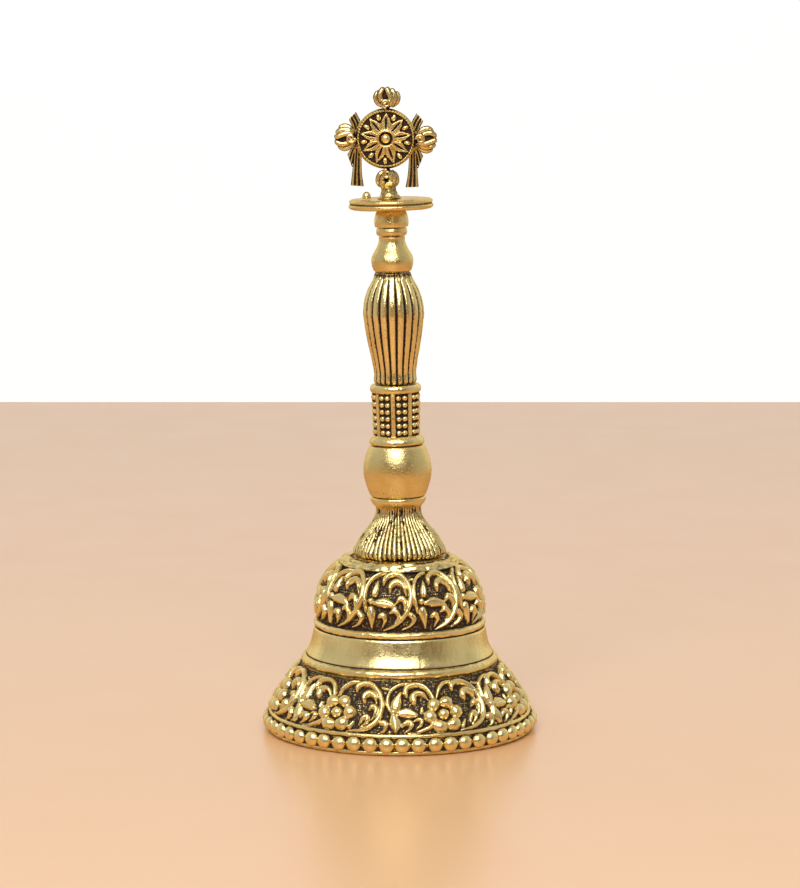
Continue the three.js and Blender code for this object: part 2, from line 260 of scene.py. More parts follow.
def skirt_relief():
    """One period of the skirt: a sprig medallion, then a flower medallion."""
    relief = Relief(TURN / SKIRT_PERIODS * SKIRT_RADIUS, SKIRT_HEIGHT)
    vine, leaf, ball = relief.vine, relief.leaf, relief.ball
    # the sprig: a ball with a leaf up, a leaf right and a leaf down
    leaf([(-0.3, 7.9), (-0.1, 9), (1.1, 12)], [1.35, 1.3, 0.15], 1.05, 0.3)
    leaf([(0.7, 5.6), (2.6, 5.9), (4.1, 5.4), (5.5, 5)], [0.8, 1.4, 1, 0.15], 1.1, 0.3)
    leaf([(-0.8, 4.6), (-0.4, 3), (-0.2, 1.5), (-0.2, 0.2)], [0.9, 1.4, 0.8, 0.15], 1, -0.25)
    ball(-0.9, 6, 1.2, 1.2)
    # vines round it
    vine([(-2, 6.6), (-2.6, 8.3), (-2.6, 10.3), (-1.9, 12.2), (-0.4, 13.4), (1.6, 14.2), (3.7, 14.5)],
         [0.5, 0.55, 0.55, 0.5, 0.5, 0.45, 0.3])
    vine([(2.8, 10.2), (2.4, 11.7), (2.8, 13), (4.4, 13.8), (6.6, 13.9), (8.3, 13.1), (9.5, 11.6),
          (10.3, 9.4), (10.2, 7)], [0.25, 0.8, 0.8, 0.75, 0.7, 0.65, 0.6, 0.5, 0.35])
    vine([(5, 8.2), (4.6, 9.5), (4.7, 10.7), (6.1, 11.4), (7.7, 10.9), (8.8, 9.3)],
         [0.25, 0.95, 0.95, 0.75, 0.55, 0.2], 1.1)
    vine([(9.4, 2.6), (8.3, 1.6), (6.8, 1), (5, 0.3), (3.1, 0.1)], [0.5, 0.55, 0.5, 0.4, 0.25])
    vine([(1.3, 1.9), (2, 2.7), (3.1, 3.1), (3.7, 2.5), (3.2, 1.3), (2, 0.3)],
         [0.35, 0.6, 0.75, 0.65, 0.45, 0.2])
    vine([(4.5, 3.5), (5.5, 3.9), (6.3, 3.5), (6.1, 2.4), (5, 1.4)], [0.3, 0.5, 0.55, 0.45, 0.2])
    vine([(-3.9, 2.7), (-3.2, 3), (-2.7, 2), (-3.2, 0.7), (-4.4, 0.1)], [0.55, 0.8, 0.6, 0.4, 0.15])
    leaf([(6.6, 5.9), (6.8, 7.3)], [0.5, 0.35], 0.7)
    ball(-1.7, 0.5, 0.55, 0.5)
    vine([(-4.5, 13.2), (-3.3, 12.8), (-2, 12.6)], [0.3, 0.4, 0.4], 0.9)
    # the flower's medallion
    f = FLOWER_AT
    vine([(f - 1, 10), (f - 0.1, 12.1), (f + 1.8, 13.8), (f + 4.6, 14.6)], [0.3, 0.6, 0.65, 0.35])
    vine([(f + 4.4, 11.7), (f + 4.5, 13.1), (f + 6.5, 14.1), (f + 9, 13.6), (f + 11.2, 11.7),
          (f + 12.4, 8.8), (f + 12.3, 5.5), (f + 10.9, 2.7), (f + 8, 0.9), (f + 4, 0.2)],
         [0.3, 0.8, 0.8, 0.75, 0.7, 0.7, 0.65, 0.65, 0.5, 0.2])
    vine([(f + 7.4, 8.7), (f + 7.2, 10.3), (f + 8.5, 11.3), (f + 10.2, 10.4), (f + 11, 8.3)],
         [0.35, 0.9, 0.95, 0.7, 0.2], 1.1)
    vine([(f + 9.1, 6.6), (f + 9.9, 7.5), (f + 10.9, 7), (f + 10.9, 5.2), (f + 10, 3.6)],
         [0.35, 0.75, 0.75, 0.5, 0.2])
    vine([(f + 7, 2), (f + 7.7, 3.8), (f + 8.8, 4.6), (f + 8.9, 3), (f + 7.4, 1.5)],
         [0.25, 0.55, 0.7, 0.5, 0.2])
    leaf([(f + 4.6, 1.3), (f + 5.5, 2.9)], [0.55, 0.35], 0.8)
    for k in range(6):
        angle = math.radians(60 * k + 7)
        ball(f + 3.6 * math.cos(angle), 5.1 + 3.5 * math.sin(angle), 2.1, 1.45)
    relief.sink(f, 5.1, 2.2, 1.6)
    ball(f, 5.1, 1.65, 1.3)
    # punched ground
    for u, v, reach in [(3.9, 7.7, (2.8, 2)), (-3.4, 14, (3, 1.1)), (7.7, 0.6, (2, 1.1)),
                        (f + 6.4, 7.4, (1.9, 3)), (f - 4.6, 0.9, (2.2, 1)), (f + 13.2, 2, (2, 2)),
                        (f + 2.6, 11.6, (2, 1.4))]:
        relief.stipple(u, v, reach)
    return relief


def dome_relief():
    """One medallion of the dome, with the comma that fills the corner beside it."""
    relief = Relief(TURN / DOME_MEDALLIONS * DOME_RADIUS, DOME_HEIGHT)
    vine, leaf = relief.vine, relief.leaf
    vine([(-6.5, 6.2), (-6.8, 8), (-7.2, 10.5), (-7.1, 13.2), (-6, 15.6), (-3.9, 17.1), (-1.7, 17.8)],
         [0.3, 0.5, 0.6, 0.6, 0.6, 0.55, 0.35])
    vine([(-1.9, 13.9), (-1.8, 15.4), (-0.8, 16.6), (1.3, 17.4), (3.8, 16.7), (5.8, 14.3), (6.5, 11.2),
          (5.9, 8), (4.4, 5.2), (2, 2.9), (-1.2, 1.3)],
         [0.3, 0.8, 0.8, 0.8, 0.8, 0.75, 0.75, 0.7, 0.65, 0.55, 0.25])
    vine([(0.4, 11.9), (0.5, 13.6), (2.4, 14.8), (4.3, 13.5), (5.2, 10.8)],
         [0.35, 0.85, 0.95, 0.75, 0.2], 1.1)
    vine([(2.3, 8.8), (3.5, 10.1), (4.8, 9), (4.6, 6.4)], [0.35, 0.8, 0.7, 0.2])
    vine([(0.6, 6.2), (1.9, 6.8), (2.9, 5.3), (1.8, 3.4)], [0.4, 0.75, 0.55, 0.2])
    leaf([(-4.3, 11.2), (-4.1, 12.4), (-3.8, 15.1)], [0.95, 1, 0.15], 1, 0.25)
    leaf([(-4.1, 8.7), (-1.7, 8.9), (0.5, 8.5), (2.5, 7.6)], [0.5, 1.25, 0.95, 0.15], 1.05, 0.3)
    leaf([(-5, 7), (-4.9, 6), (-4.6, 4.2), (-4.4, 1.9)], [0.9, 1.15, 0.85, 0.2], 1)
    relief.ball(-5.2, 9.2, 1, 1.05)
    vine([(-2.6, 4.9), (-1.5, 5.6), (-0.8, 4.3), (-1.6, 2.2)], [0.45, 0.8, 0.6, 0.2])
    vine([(-8.3, 5.6), (-7.5, 4.4), (-8.8, 2.6), (-10.8, 1.6)], [0.8, 0.7, 0.45, 0.2])
    vine([(6, 15.2), (7.3, 15.7), (8.4, 15)], [0.35, 0.4, 0.45], 0.9)
    for u, v, reach in [(-0.6, 11.3, (2.2, 2)), (-8.1, 8.6, (1.2, 2.4)), (-9.9, 3.4, (1.4, 1.4)),
                        (0.7, 2.6, (1.4, 1))]:
        relief.stipple(u, v, reach)
    return relief


# ---- meshes

def new_object(name, vertices, faces):
    """A smooth-shaded mesh object. The vertices are in millimetres."""
    mesh = bpy.data.meshes.new(name)
    mesh.from_pydata((np.asarray(vertices) * MM).tolist(), [], faces)
    mesh.validate()
    mesh.polygons.foreach_set("use_smooth", [True] * len(mesh.polygons))
    mesh.update()
    obj = bpy.data.objects.new(name, mesh)
    bpy.context.scene.collection.objects.link(obj)
    return obj


def grid_faces(rows, columns, closed=False):
    """Faces of a grid whose columns close on themselves, and whose rows do too where closed is set."""
    index = np.arange(rows * columns).reshape(rows, columns)
    right = np.roll(index, -1, axis=1)
    quads = np.stack([index, right, np.roll(right, -1, axis=0), np.roll(index, -1, axis=0)], axis=-1)
    return quads[:rows if closed else rows - 1].reshape(-1, 4).tolist()


def grid_part(points):
    """Vertices and faces of a closed grid whose first and last rows are single points."""
    return points.reshape(-1, 3), grid_faces(*points.shape[:2])


def joined(parts):
    """Several parts' vertices and faces as one list of each."""
    vertices, faces, start = [], [], 0
    for part_vertices, part_faces in parts:
        vertices.append(part_vertices)
        faces += [[start + k for k in face] for face in part_faces]
        start += len(part_vertices)
    return np.vstack(vertices), faces


def set_rub(obj, values):
    """Stores how bright each point is rubbed: below 0 it stays dark, above 0 it is worn bright."""
    attribute = obj.data.attributes.new("wear", "FLOAT", "POINT")
    attribute.data.foreach_set("value", np.asarray(values, np.float32))


def grid_object(name, points, rubbed=0.0):
    """A closed mesh from a (rows, columns, 3) grid, with a rub for each point.

    The rows close on themselves too, unless the first and last are each a single point on the axis.
    """
    rows, columns = points.shape[:2]
    poles = np.ptp(points[[0, -1]], axis=1).max() < 1e-6
    obj = new_object(name, points.reshape(-1, 3), grid_faces(rows, columns, closed=not poles))
    set_rub(obj, np.broadcast_to(rubbed, (rows, columns)).ravel())
    clean(obj)
    return obj


def clean(obj):
    """Merges doubled points, drops loose ones, and turns the faces outwards."""
    work = bmesh.new()
    work.from_mesh(obj.data)
    bmesh.ops.remove_doubles(work, verts=work.verts, dist=1e-7)
    loose = [v for v in work.verts if not v.link_faces]
    bmesh.ops.delete(work, geom=loose, context="VERTS")
    if work.calc_volume(signed=True) < 0:
        bmesh.ops.reverse_faces(work, faces=work.faces)
    work.to_mesh(obj.data)
    work.free()
    obj.data.update()


def outline_normals(outline):
    """Unit normals of a [radius, height] outline, to the right of its direction."""
    step = np.gradient(outline, axis=0)
    length = np.maximum(1e-9, np.hypot(step[:, 0], step[:, 1]))
    return np.stack([step[:, 1] / length, -step[:, 0] / length], axis=1)


def revolve(outline, columns, lift=0.0):
    """Points of a turned surface. lift is how far each point stands out along its normal."""
    outline = np.array(outline, float)
    normal = outline_normals(outline)
    lift = lift + np.zeros((len(outline), columns))
    angle = around(columns)
    radius = outline[:, :1] + lift * normal[:, :1]
    height = outline[:, 1:] + lift * normal[:, 1:]
    return np.stack([radius * np.sin(angle), -radius * np.cos(angle), height], axis=-1)


def through(outline, bore):
    """The rest of a bored piece's outline: across its top, down its bore and back across its bottom."""
    top, bottom = outline[-1], outline[0]
    corners = [top, (bore, top[1]), (bore, bottom[1]), bottom]
    lines = [np.linspace(start, end, steps)[1:] for start, end, steps in zip(corners, corners[1:], (6, 8, 6))]
    return np.vstack(lines)[:-1]


def bored_piece(node, slot, outline, lift, reach, rubbed=0.0, bore=2.3, space=HANDLE):
    """A turned piece with a hole for the tie rod. lift and rubbed cover the outside rows only."""
    whole = np.vstack([outline, through(outline, bore)])
    inner = ((0, len(whole) - len(outline)), (0, 0))
    rubbed = np.broadcast_to(rubbed, lift.shape)
    points = revolve(whole, lift.shape[1], np.pad(lift, inner))
    name = node + ("_cast" if slot == "aged_brass" else "_turned")
    finish_piece(grid_object(name, points, np.pad(rubbed, inner)), node, slot, space=space, reach=reach)


def tube(line, radii, sides=14):
    """Vertices and faces of a round-ended tube along a line."""
    line, radii = np.array(line, float), np.array(radii, float)
    along = np.gradient(line, axis=0)
    along /= np.linalg.norm(along, axis=1)[:, None]
    side = np.cross(along, [0, 1, 0])
    side /= np.maximum(1e-9, np.linalg.norm(side, axis=1))[:, None]
    front = np.cross(side, along)
    angle = (around(sides))[None, :, None]
    ring = side[:, None, :] * np.cos(angle) + front[:, None, :] * np.sin(angle)
    points = line[:, None, :] + ring * radii[:, None, None]
    tips = [line[:1] - along[:1] * radii[0] * 0.6, line[-1:] + along[-1:] * radii[-1] * 0.6]
    vertices = np.vstack([points.reshape(-1, 3), *tips])
    faces = grid_faces(len(line), sides)
    start, end = len(vertices) - 2, len(vertices) - 1
    for k in range(sides):
        after = (k + 1) % sides
        faces.append([start, after, k])
        faces.append([end, start - sides + k, start - sides + after])
    return vertices, faces


def merged_object(name, parts, voxel):
    """Closed parts melted into one clean solid, as one casting."""
    obj = new_object(name, *joined(parts))
    remesh = obj.modifiers.new("melt", "REMESH")
    remesh.mode = "VOXEL"
    remesh.voxel_size = voxel * MM
    smooth = obj.modifiers.new("soften", "SMOOTH")
    smooth.iterations = 3
    smooth.factor = 0.5
    bpy.context.view_layer.update()
    baked = bpy.data.meshes.new_from_object(obj.evaluated_get(bpy.context.evaluated_depsgraph_get()))
    obj.modifiers.clear()
    obj.data = baked
    baked.polygons.foreach_set("use_smooth", [True] * len(baked.polygons))
    clean(obj)
    return obj


def mesh_values(items, name, size=3, kind=float):
    """One property of a mesh's points or edges, as rows."""
    values = np.zeros(len(items) * size, kind)
    items.foreach_get(name, values)
    return values.reshape(-1, size)


def set_wear(obj, reach):
    """Adds to the rub how proud each point stands of its smoothed surroundings, in tenths of a millimetre."""
    mesh = obj.data
    count = len(mesh.vertices)
    points = mesh_values(mesh.vertices, "co")
    a, b = mesh_values(mesh.edges, "vertices", 2, int).T
    degree = np.bincount(a, minlength=count) + np.bincount(b, minlength=count)
    length = np.median(np.linalg.norm(points[a] - points[b], axis=1))
    passes = int(np.clip((reach * MM / length) ** 2, 3, 40))
    soft = points.copy()
    for _ in range(passes):
        total = np.stack([np.bincount(a, soft[b, k], count) + np.bincount(b, soft[a, k], count)
                          for k in range(3)], axis=1)
        soft = 0.5 * soft + 0.5 * total / np.maximum(1, degree)[:, None]
    proud = ((points - soft) * mesh_values(mesh.vertices, "normal")).sum(1) / (0.1 * MM)
    attribute = mesh.attributes.get("wear") or mesh.attributes.new("wear", "FLOAT", "POINT")
    proud = proud + mesh_values(attribute.data, "value", 1, np.float32)[:, 0]
    attribute.data.foreach_set("value", proud.astype(np.float32))


def span(node, space=HANDLE):
    """A node's lowest and highest point along the given space's upright axis, in millimetres."""
    back = space.inverted()
    heights = [(back @ v.co).z for v in frame["nodes"][node].data.vertices]
    return min(heights) / MM, max(heights) / MM


PLATE_TOP = span("finial_plate")[1]
FINIAL = (HANDLE @ Matrix.Translation((POST_OFFSET * MM, 0, PLATE_TOP * MM))
          @ Matrix.Rotation(-POST_LEAN, 4, "Y"))
WHEEL = FINIAL @ Matrix.Translation((0, 0, WHEEL_HEIGHT * MM)) @ Matrix.Rotation(WHEEL_TURN, 4, "Y")


def finish_piece(obj, node, slot, body="bell", space=None, reach=0.7):
    """Sets a piece in its place, gives it its surface, and lets it ride."""
    if space is not None:
        obj.data.transform(space)
        obj.data.update()
    set_wear(obj, reach)
    obj.data.materials.clear()
    obj.data.materials.append(MATERIALS[slot])
    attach(obj, body)
    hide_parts(node)


# ---- materials

class Nodes:
    """Short names for building the node tree of a material or of the world."""

    def __init__(self, owner, shader="Principled BSDF"):
        owner.use_nodes = True
        self.owner = owner
        self.tree = owner.node_tree
        self.shader = self.tree.nodes[shader]
        self.coords = self.add("ShaderNodeTexCoord").outputs

    def add(self, kind, **values):
        node = self.tree.nodes.new(kind)
        for key, value in values.items():
            setattr(node, key, value)
        return node

    def fill(self, socket, value):
        """Gives a socket a number, a colour or another socket's value."""
        if isinstance(value, (int, float)):
            socket.default_value = value
        elif isinstance(value, tuple):
            socket.default_value = (*value, 1)
        else:
            self.tree.links.new(value, socket)

    def set(self, name, value):
        self.fill(self.shader.inputs[name], value)

    def math(self, operation, a, b):
        node = self.add("ShaderNodeMath", operation=operation)
        self.fill(node.inputs[0], a)
        self.fill(node.inputs[1], b)
        return node.outputs[0]

    def plus(self, a, b):
        return self.math("ADD", a, b)

    def minus(self, a, b):
        return self.math("SUBTRACT", a, b)

    def times(self, a, b):
        return self.math("MULTIPLY", a, b)

    def ramp(self, value, stops):
        """A colour ramp through (position, colour) stops."""
        node = self.add("ShaderNodeValToRGB")
        elements = node.color_ramp.elements
        while len(elements) < len(stops):
            elements.new(0.5)
        for element, (position, colour) in zip(elements, stops):
            element.position = position
            element.color = (*colour, 1)
        self.fill(node.inputs[0], value)
        return node.outputs[0]

    def rise(self, value, start, end):
        """0 up to start, 1 from end, and straight between them."""
        return self.ramp(value, [(start, (0, 0, 0)), (end, (1, 1, 1))])

    def texture(self, kind, **inputs):
        """A procedural texture in the object's own space."""
        node = self.add(kind)
        for name, value in inputs.items():
            node.inputs[name].default_value = value
        self.fill(node.inputs["Vector"], self.coords["Object"])
        return node.outputs[0]

    def noise(self, scale, detail=3, roughness=0.55):
        return self.texture("ShaderNodeTexNoise", Scale=scale, Detail=detail, Roughness=roughness)

    def voronoi(self, scale):
        return self.texture("ShaderNodeTexVoronoi", Scale=scale)

    def mix(self, factor, a, b):
        node = self.add("ShaderNodeMix", data_type="RGBA")
        for k, value in ((0, factor), (6, a), (7, b)):
            self.fill(node.inputs[k], value)
        return node.outputs[2]

    def bump(self, height, strength, distance):
        node = self.add("ShaderNodeBump")
        node.inputs["Strength"].default_value = strength
        node.inputs["Distance"].default_value = distance
        self.fill(node.inputs["Height"], height)
        self.set("Normal", node.outputs[0])


def new_material(name):
    return Nodes(bpy.data.materials.new(name))


BRIGHT = (0.90, 0.73, 0.34)
DARK_FINISH = (0.045, 0.030, 0.024)
EDGE_TINT = (0.78, 0.65, 0.45)


def brass(name, patina, high, low, roughness, grain, stipple):
    """Cast or turned brass. patina is how much dark finish stays in the recesses."""
    n = new_material(name)
    wear = n.add("ShaderNodeAttribute", attribute_name="wear").outputs["Fac"]
    cloud, fine, speck = n.noise(170, 4, 0.6), n.noise(1500, 3, 0.6), n.noise(3200, 2, 0.5)
    # brass colour: warmer and browner in broad patches, paler where it is rubbed
    tone = n.plus(n.times(wear, 0.11), n.times(cloud, 0.9))
    middle = tuple((a + b) / 2 for a, b in zip(low, high))
    body = n.ramp(tone, [(0.15, low), (0.5, middle), (0.85, high)])
    # dark finish: held in what lies below its surroundings and in pits, with a ragged, dotted edge
    depth = n.plus(wear, n.times(n.minus(fine, 0.5), 5.0))
    depth = n.plus(depth, n.times(n.minus(0.42, n.voronoi(1500)), stipple))
    held = n.times(n.rise(n.plus(n.times(depth, -0.1), 0.5), 0.56, 0.86), patina)
    hole = n.ramp(n.voronoi(420), [(0.0, (1, 1, 1)), (0.11, (0, 0, 0))])
    pit = n.times(hole, n.rise(n.noise(260, 2), 0.49, 0.58))
    dark = n.math("MAXIMUM", held, n.times(pit, 0.75))
    n.set("Base Color", n.mix(dark, body, DARK_FINISH))
    n.set("Metallic", n.minus(1.0, n.times(dark, 0.35)))
    n.set("Roughness", n.plus(n.plus(n.times(cloud, 0.16), roughness - 0.08), n.times(dark, 0.35)))
    n.set("Specular Tint", EDGE_TINT)
    # fine casting grain and pits
    height = n.plus(n.times(fine, 0.7), n.times(speck, 0.3))
    n.bump(n.minus(height, n.times(pit, 1.5)), grain, 0.0002)
    return n.owner


def steel(name):
    """Dull, slightly browned steel of the hidden hardware."""
    n = new_material(name)
    rust = n.rise(n.noise(300, 4, 0.65), 0.45, 0.7)
    n.set("Base Color", n.mix(rust, (0.33, 0.31, 0.29), (0.16, 0.09, 0.05)))
    n.set("Roughness", n.plus(n.times(rust, 0.3), 0.36))
    n.set("Metallic", n.minus(1.0, n.times(rust, 0.6)))
    n.bump(n.noise(2500, 3), 0.3, 0.0001)
    return n.owner


MATERIALS = {
    "aged_brass": brass("aged_brass", 1.0, BRIGHT, (0.56, 0.41, 0.15), 0.26, 0.5, 6),
    "plain_brass": brass("plain_brass", 0.8, BRIGHT, (0.66, 0.50, 0.19), 0.26, 0.7, 1.5),
    "steel": steel("steel"),
}


# ---- the cup

# Ground of the skirt and of the dome, as [radius, height]: relief stands out from these.
SKIRT_GROUND = evenly(spline([(35.6, 5.8), (34.3, 8.3), (31.2, 12.9), (27.1, 18.5)], 80), 0.25)
DOME_GROUND = evenly(spline([(22.5, 31.1), (22.5, 35.5), (21.7, 39.3), (20, 42.6), (17.3, 45.4),
                             (14.6, 46.8)], 80), 0.25)
SKIRT_RADIUS = 32.4
DOME_RADIUS = 23.4
SKIRT_HEIGHT = float(np.hypot(*np.diff(SKIRT_GROUND, axis=0).T).sum())
DOME_HEIGHT = 20.0
DOME_START = 0.8
FLOWER_AT = 12.5


def cup_relief(relief, turn, columns, radius, along):
    """A relief's height on its stretch of the cup, and its rub: bright tops and dark ground."""
    angle = around(columns)
    lift = relief.at((angle - turn) * radius, along)
    return lift, np.clip((lift - 0.62) * 12, -3.4, 3)


def bell_cup():
    """The cast cup: lip, bead seat, skirt relief, waist ring, plain band, dome relief and the inside."""
    columns = 760
    lip = evenly([(34.6, 0), (36.2, 0), (36.8, 0.3), (37.1, 0.8), (37.1, 1.1)], 0.3)
    seat = evenly(spline([(36.9, 1.3), (36.75, 2), (36.5, 3), (36.1, 4.1)], 12), 0.4)
    fillet = arc((35.75, 5.15), 0.75, -75, 75, 8)
    ring = arc((26, 19.85), 1.35, -70, 85, 14)
    groove = [(26, 21.35), (25.95, 21.5)]
    band = evenly(spline([(25.95, 21.7), (24.7, 24.4), (23.75, 28.8)], 24), 0.5)
    line = [(23.3, 29.0), (23.3, 29.15)]
    step = evenly(spline([(23.65, 29.3), (23.9, 29.8), (23.9, 30.3), (23.6, 30.8)], 12), 0.3)
    crown = evenly([(14.2, 47.1), (8, 47.1), (2.4, 47.1)], 2.0)
    inside = evenly(spline([(2.4, 44), (9, 44), (14, 43.8), (17.2, 42.7), (20, 38.6), (20.7, 32), (21.6, 26),
                            (23.3, 20.4), (31.4, 9.2), (33.5, 4.6), (34.4, 0.3)], 120), 2.0)
    sections = [(lip, 1), (seat, -4), (fillet, 2), (SKIRT_GROUND, 0), (ring, 2), (groove, -7), (band, 2.5),
                (line, -9), (step, 3), (DOME_GROUND, 0), (crown, -1.5), (inside, 1.2)]
    lifts, rubs = [], []
    for outline, rub in sections:
        lift = np.zeros((len(outline), columns))
        if outline is SKIRT_GROUND:
            along = np.linspace(0, SKIRT_HEIGHT, len(outline))
            lift, rub = cup_relief(skirt_relief(), SKIRT_TURN, columns, SKIRT_RADIUS, along)
        if outline is DOME_GROUND:
            along = np.linspace(DOME_START, DOME_HEIGHT, len(outline))
            lift, rub = cup_relief(dome_relief(), DOME_TURN, columns, DOME_RADIUS, along)
        if outline is ring or outline is step:
            lift = 0.1 * smooth_noise(lift.shape, 7, 5) - 0.05
        lifts.append(lift)
        rubs.append(rub + np.zeros(lift.shape))
    outline = np.vstack([section for section, _ in sections])
    outside = outline[:, :1] > 3
    lift = np.vstack(lifts)
    lift = lift + ripple(lift.shape, (0.05, 16, 3), (0.025, 4, 4)) * outside
    points = revolve(outline, columns, lift)
    points[..., 2] = np.maximum(points[..., 2], 0)
    finish_piece(grid_object("bell_cup_cast", points, np.vstack(rubs)), "bell_cup", "aged_brass", reach=0.6)


def ball_grid(radius, rings, sides):
    """Points of a ball round the origin, as rows from its bottom to its top."""
    latitude = np.linspace(-math.pi / 2, math.pi / 2, rings + 1)[:, None]
    longitude = around(sides)
    ball = np.stack([np.cos(latitude) * np.cos(longitude), np.cos(latitude) * np.sin(longitude),
                     np.sin(latitude) + 0 * longitude], axis=-1)
    return ball * radius


def lip_beads():
    """A row of cast beads round the lip, joined by small lumps."""
    reach, height = 36.5, 2.85
    rng = np.random.default_rng(11)
    parts = []
    for k in range(2 * LIP_BEADS):
        bead = k % 2 == 0
        angle = LIP_BEAD_TURN + k / 2 * TURN / LIP_BEADS + rng.normal(0, 0.0025)
        radius = 2.2 + rng.normal(0, 0.04) if bead else 0.62
        out = np.array([math.sin(angle), -math.cos(angle), 0])
        along = np.array([math.cos(angle), math.sin(angle), 0])
        ball = ball_grid(radius, *((14, 24) if bead else (6, 10)))
        points = (out * (reach + 0.8 * ball[..., :1]) + along * ball[..., 1:2]
                  + np.array([0, 0, 0.93]) * ball[..., 2:] + np.array([0, 0, height + rng.normal(0, 0.05)]))
        parts.append(grid_part(points))
    vertices, faces = joined(parts)
    beads = new_object("lip_beads", vertices, faces)
    proud = np.hypot(vertices[:, 0], vertices[:, 1]) - 37.05
    set_rub(beads, np.clip(proud * 9, -6, 3))
    clean(beads)
    finish_piece(beads, "bell_cup", "aged_brass", reach=0.8)


def crown_washer():
    """The lumpy, hand-filed rim on the crown, round a dark flat."""
    rim = evenly(spline([(13.8, 47.3), (14.8, 46.8), (15.9, 46.05), (16.6, 46.3), (16.45, 47), (15.8, 47.9),
                         (14.9, 48.5), (13.8, 48.4)], 60), 0.22)
    flat = evenly(spline([(13.5, 48.3), (13.1, 48.2), (12.8, 48.4), (12.4, 48.6)], 20), 0.3)
    outline = np.vstack([rim, flat])
    radius, height = outline[:, :1], outline[:, 1:]
    shape = (len(outline), 300)
    lumps = ripple(shape, (0.34, 12, 21), (0.3, 5, 22), (0.12, 2.5, 23))
    lift = lumps * np.clip((radius - 12.8) / 1.2, 0.25, 1)
    share = np.where(height < 46.6, -8, np.where(radius > 14, 1.4, -2))
    rubbed = share + 2.4 * smooth_noise(shape, 3, 24)
    bored_piece("crown_washer", "aged_brass", outline, lift, 0.7, rubbed, space=None)


# ---- the handle

def handle_foot():
    """The fluted trumpet foot, with rough casting on its front and a plain ring on top."""
    low, high = span("handle_foot")
    columns = FOOT_FLUTES * 11
    side = raised(low, [(12, -1.35), (12.7, -0.6), (12.6, 0.5), (12, 1.8), (10.9, 3.5), (9.5, 5.4),
                        (8.1, 7.2), (6.95, 8.8), (6.35, 10.3), (6.2, 11.8)])
    top = raised(low, [(6.45, 12.3), (7.1, 13), (7.55, 13.8), (7.6, 14.5)])
    trumpet = evenly(spline(side, 90), 0.2)
    ring = evenly(spline([*top, (7.4, high)], 30), 0.2)
    outline = np.vstack([trumpet, ring])
    angle = around(columns)
    up = unit((outline[:, 1:] - low) / 12)
    shape = (len(outline), columns)
    sway = 0.01 * smooth_noise(shape, 40, 33)
    rib = np.abs(np.cos((angle + sway) * FOOT_FLUTES / 2)) ** 0.55
    fluted = (np.arange(len(outline)) < len(trumpet))[:, None]
    depth = 0.62 * np.clip(1.3 - up, 0.3, 1) * fluted
    rough = ripple(shape, (0.6, 5, 31), (0.4, 2.5, 32))
    front = np.exp(-((angle + 0.1 + math.pi) % TURN - math.pi) ** 2 / 0.8)
    flaws = unit(smooth_noise(shape, 16, 35) + 0.35 * front) * fluted * np.clip(3 * up, 0.1, 1)
    hem = 0.35 * smooth_noise(shape, 14, 34) * unit(1 - 6 * up)
    lift = depth * (rib - 1) + rough * (0.04 + 0.4 * flaws) + hem
    ribs = 11 * (rib - 0.7) * np.clip(1.4 - up, 0.5, 1) - 7 * flaws * (rough < 0)
    bored_piece("handle_foot", "aged_brass", outline, lift, 0.4, fluted * ribs + 2 * (1 - fluted))


def handle_ball():
    """The plain ball: turned, with faint flats and ripples from the polishing wheel."""
    low, high = span("handle_ball")
    side = raised(low, [(7.1, 0), (7.65, 0.2), (8.5, 2.3), (9.2, 5), (9.4, 7.1), (9.15, 9.6), (8.5, 12)])
    outline = evenly(spline([*side, (7.7, high - 0.3), (7.1, high)], 80), 0.22)
    lift = ripple((len(outline), 240), (0.05, 26, 41), (0.02, 7, 42))
    bored_piece("handle_ball", "plain_brass", outline, lift, 1.2)


def studded_collar():
    """The collar: plain bars between panels with two columns of studs, and a ring at each end."""
    low, high = span("studded_collar")
    bottom, top = low + 2.6, high - 2.4
    lower = spline(raised(low, [(7.2, 0), (7.6, 0.35), (7.5, 1.2), (7, 1.9), (6.4, 2.4)]), 30)
    body = np.linspace((5.75, bottom), (6.05, top), 60)
    upper = spline(raised(high, [(6.5, -2.2), (6.95, -1.8), (7.05, -1), (6.85, -0.35), (6.4, 0)]), 30)
    outline = np.vstack([evenly(lower, 0.18), evenly(body, 0.13), evenly(upper, 0.18)])
    columns = 352
    panel = TURN / COLLAR_PANELS
    angle = around(columns) - COLLAR_TURN
    across = ((angle + panel / 2) % panel - panel / 2) * outline[:, :1]
    z = outline[:, 1:]
    inside = (z > bottom - 0.05) & (z < top + 0.05)
    lift = 0.62 * unit((0.66 - np.abs(across)) / 0.25) ** 0.5
    pitch = (top - bottom) / STUD_ROWS
    row = bottom + (np.floor((z - bottom) / pitch) + 0.5) * pitch
    for centre in (1.5, -1.5):
        far = np.hypot(across - centre, z - row) / 0.8
        lift = np.maximum(lift, 0.85 * half_round(far))
    lift = np.where(inside, lift, 0.0)
    rubbed = np.where(inside, np.clip((lift - 0.48) * 16, -7, 4), 2)
    lift = lift + 0.04 * smooth_noise(lift.shape, 5, 51)
    bored_piece("studded_collar", "aged_brass", outline, lift, 0.4, rubbed)


